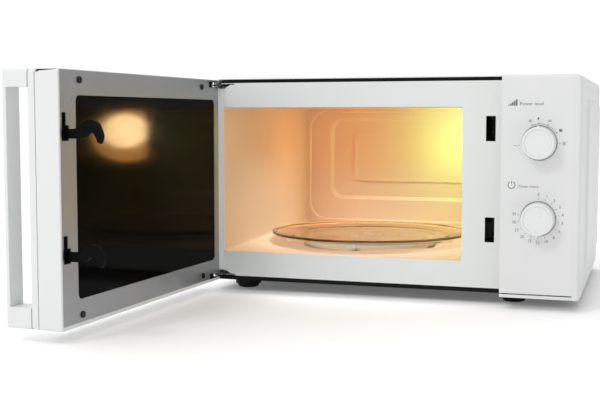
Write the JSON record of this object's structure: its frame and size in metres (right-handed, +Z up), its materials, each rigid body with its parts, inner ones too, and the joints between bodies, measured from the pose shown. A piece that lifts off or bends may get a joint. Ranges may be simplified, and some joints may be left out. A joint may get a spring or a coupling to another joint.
{
  "type": "microwave oven",
  "caption": "Free-standing microwave oven with its side-hinged door standing open, a lit cavity with a turning glass plate, rotary control knobs, a door latch and a pull handle.",
  "frame": {"origin": "centre of the case's footprint, on the surface under the feet", "axes": "+X to the right as seen from the front, +Y to the back, +Z up; the door is stored standing open"},
  "size_m": [0.511, 0.6849, 0.2605],
  "materials": {
    "outer_case": "smooth white enamel, satin",
    "base_plate": "black painted sheet",
    "feet": "moulded black",
    "back_panel": "galvanised and painted sheet",
    "cord_gland": "moulded black",
    "case_screws": "zinc plated",
    "front_plate": "white enamel, satin",
    "top_seal": "black foam strip",
    "cavity_shell": "warm grey enamel, satin",
    "cavity_back": "warm grey enamel, satin",
    "waveguide": "plated sheet",
    "waveguide_cover": "mica sheet",
    "magnetron_body": "plated sheet",
    "magnetron_fins": "bare",
    "magnetron_filter_box": "plated sheet",
    "transformer_core": "stacked laminations",
    "transformer_windings": "varnished copper wire",
    "hv_capacitor": "drawn can",
    "hv_diode": "moulded black",
    "fan_duct": "moulded grey",
    "fan_motor": "stacked laminations",
    "lamp_holder": "moulded black",
    "lamp_bulb": "clear",
    "turntable_motor": "plated can",
    "latch_board": "moulded black",
    "door_switches": "moulded black",
    "filter_board": "phenolic board and parts",
    "wiring_harness": "sleeved wire",
    "control_panel": "moulded white, satin",
    "panel_trim": "moulded white, satin",
    "power_selector": "moulded grey",
    "timer_unit": "plated sheet",
    "upper_hinge": "zinc plated",
    "lower_hinge": "zinc plated",
    "door_frame": "moulded white, satin",
    "door_outer_panel": "moulded white, satin",
    "door_front_window": "smoked",
    "door_handle": "moulded white, satin",
    "door_inner_frame": "satin grey, flat",
    "door_inner_glass": "black, mirror smooth",
    "door_choke_frame": "plated sheet",
    "door_mesh_screen": "black perforated sheet, drawn as a plain one",
    "door_screws": "black zinc",
    "latch_spring": "spring wire",
    "latch_bar": "moulded black",
    "power_knob": "moulded white, satin",
    "power_shaft": "plain",
    "timer_knob": "moulded white, satin",
    "timer_shaft": "plain",
    "fan_impeller": "moulded white",
    "turntable_coupler": "moulded translucent white",
    "turntable_plate": "clear glass",
    "roller_ring": "moulded ivory",
    "roller_1": "moulded white",
    "roller_2": "moulded white",
    "roller_3": "moulded white",
    "upper_switch_lever": "moulded dark grey",
    "lower_switch_lever": "moulded dark grey"
  },
  "bodies": {
    "oven": {"outer_case": "outer_case", "base_plate": "base_plate", "feet": "feet", "back_panel": "back_panel", "cord_gland": "cord_gland", "case_screws": "case_screws", "front_plate": "front_plate", "top_seal": "top_seal", "cavity_shell": "cavity_shell", "cavity_back": "cavity_back", "waveguide": "waveguide", "waveguide_cover": "waveguide_cover", "magnetron_body": "magnetron_body", "magnetron_fins": "magnetron_fins", "magnetron_filter_box": "magnetron_filter_box", "transformer_core": "transformer_core", "transformer_windings": "transformer_windings", "hv_capacitor": "hv_capacitor", "hv_diode": "hv_diode", "fan_duct": "fan_duct", "fan_motor": "fan_motor", "lamp_holder": "lamp_holder", "lamp_bulb": "lamp_bulb", "turntable_motor": "turntable_motor", "latch_board": "latch_board", "door_switches": "door_switches", "filter_board": "filter_board", "wiring_harness": "wiring_harness", "control_panel": "control_panel", "panel_trim": "panel_trim", "power_selector": "power_selector", "timer_unit": "timer_unit", "upper_hinge": "upper_hinge", "lower_hinge": "lower_hinge"},
    "door": {"door_frame": "door_frame", "door_outer_panel": "door_outer_panel", "door_front_window": "door_front_window", "door_handle": "door_handle", "door_inner_frame": "door_inner_frame", "door_inner_glass": "door_inner_glass", "door_choke_frame": "door_choke_frame", "door_mesh_screen": "door_mesh_screen", "door_screws": "door_screws", "latch_spring": "latch_spring"},
    "latch": {"latch_bar": "latch_bar"},
    "power_dial": {"power_knob": "power_knob", "power_shaft": "power_shaft"},
    "timer_dial": {"timer_knob": "timer_knob", "timer_shaft": "timer_shaft"},
    "fan": {"fan_impeller": "fan_impeller"},
    "coupler": {"turntable_coupler": "turntable_coupler"},
    "plate": {"turntable_plate": "turntable_plate"},
    "ring": {"roller_ring": "roller_ring"},
    "roller_a": {"roller_1": "roller_1"},
    "roller_b": {"roller_2": "roller_2"},
    "roller_c": {"roller_3": "roller_3"},
    "upper_lever": {"upper_switch_lever": "upper_switch_lever"},
    "lower_lever": {"lower_switch_lever": "lower_switch_lever"}
  },
  "joints": [
    {"name": "door_swing", "type": "hinge", "parent": "oven", "child": "door", "pos_m": [-0.218, -0.17, 0.136], "axis": [0, 0, 1], "range_deg": [-8, 92.1]},
    {"name": "latch_lift", "type": "slide", "parent": "door", "child": "latch", "axis": [0, 0, 1], "range_m": [0, 0.0025], "stiffness_N_per_m": 200, "springref_m": -0.004, "deforming": ["latch_spring"]},
    {"name": "power_turn", "type": "hinge", "parent": "oven", "child": "power_dial", "pos_m": [0.1755, -0.205, 0.1858], "axis": [0, 1, 0], "range_deg": [-97, 91]},
    {"name": "timer_turn", "type": "hinge", "parent": "oven", "child": "timer_dial", "pos_m": [0.1755, -0.205, 0.103], "axis": [0, 1, 0], "range_deg": [-180, 98]},
    {"name": "fan_spin", "type": "hinge", "parent": "oven", "child": "fan", "pos_m": [0.157, 0.146, 0.119], "axis": [0, 1, 0], "continuous": true},
    {"name": "turntable_spin", "type": "hinge", "parent": "oven", "child": "coupler", "pos_m": [-0.062, -0.015, 0.05], "axis": [0, 0, 1], "continuous": true},
    {"name": "plate_lift", "type": "slide", "parent": "coupler", "child": "plate", "axis": [0, 0, 1], "range_m": [0, 0.05]},
    {"name": "ring_spin", "type": "hinge", "parent": "oven", "child": "ring", "pos_m": [-0.062, -0.015, 0.0502], "axis": [0, 0, 1], "continuous": true},
    {"name": "roller_1_spin", "type": "hinge", "parent": "ring", "child": "roller_a", "pos_m": [0.01897, 0.03175, 0.0502], "axis": [0.866, 0.5, 0], "continuous": true},
    {"name": "roller_2_spin", "type": "hinge", "parent": "ring", "child": "roller_b", "pos_m": [-0.14297, 0.03175, 0.0502], "axis": [-0.866, 0.5, 0], "continuous": true},
    {"name": "roller_3_spin", "type": "hinge", "parent": "ring", "child": "roller_c", "pos_m": [-0.062, -0.1085, 0.0502], "axis": [0, -1, 0], "continuous": true},
    {"name": "upper_lever_tilt", "type": "hinge", "parent": "oven", "child": "upper_lever", "pos_m": [0.12, -0.121, 0.2205], "axis": [1, 0, 0], "range_deg": [0, 8], "stiffness_Nm_per_rad": 0.05, "springref_deg": -5.73},
    {"name": "lower_lever_tilt", "type": "hinge", "parent": "oven", "child": "lower_lever", "pos_m": [0.12, -0.121, 0.1049], "axis": [1, 0, 0], "range_deg": [0, 8], "stiffness_Nm_per_rad": 0.05, "springref_deg": -5.73}
  ],
  "couplings": [
    {"joint": "ring_spin", "follows": "turntable_spin", "ratio": 0.5},
    {"joint": "roller_1_spin", "follows": "turntable_spin", "ratio": -9.35},
    {"joint": "roller_2_spin", "follows": "turntable_spin", "ratio": -9.35},
    {"joint": "roller_3_spin", "follows": "turntable_spin", "ratio": -9.35}
  ]
}
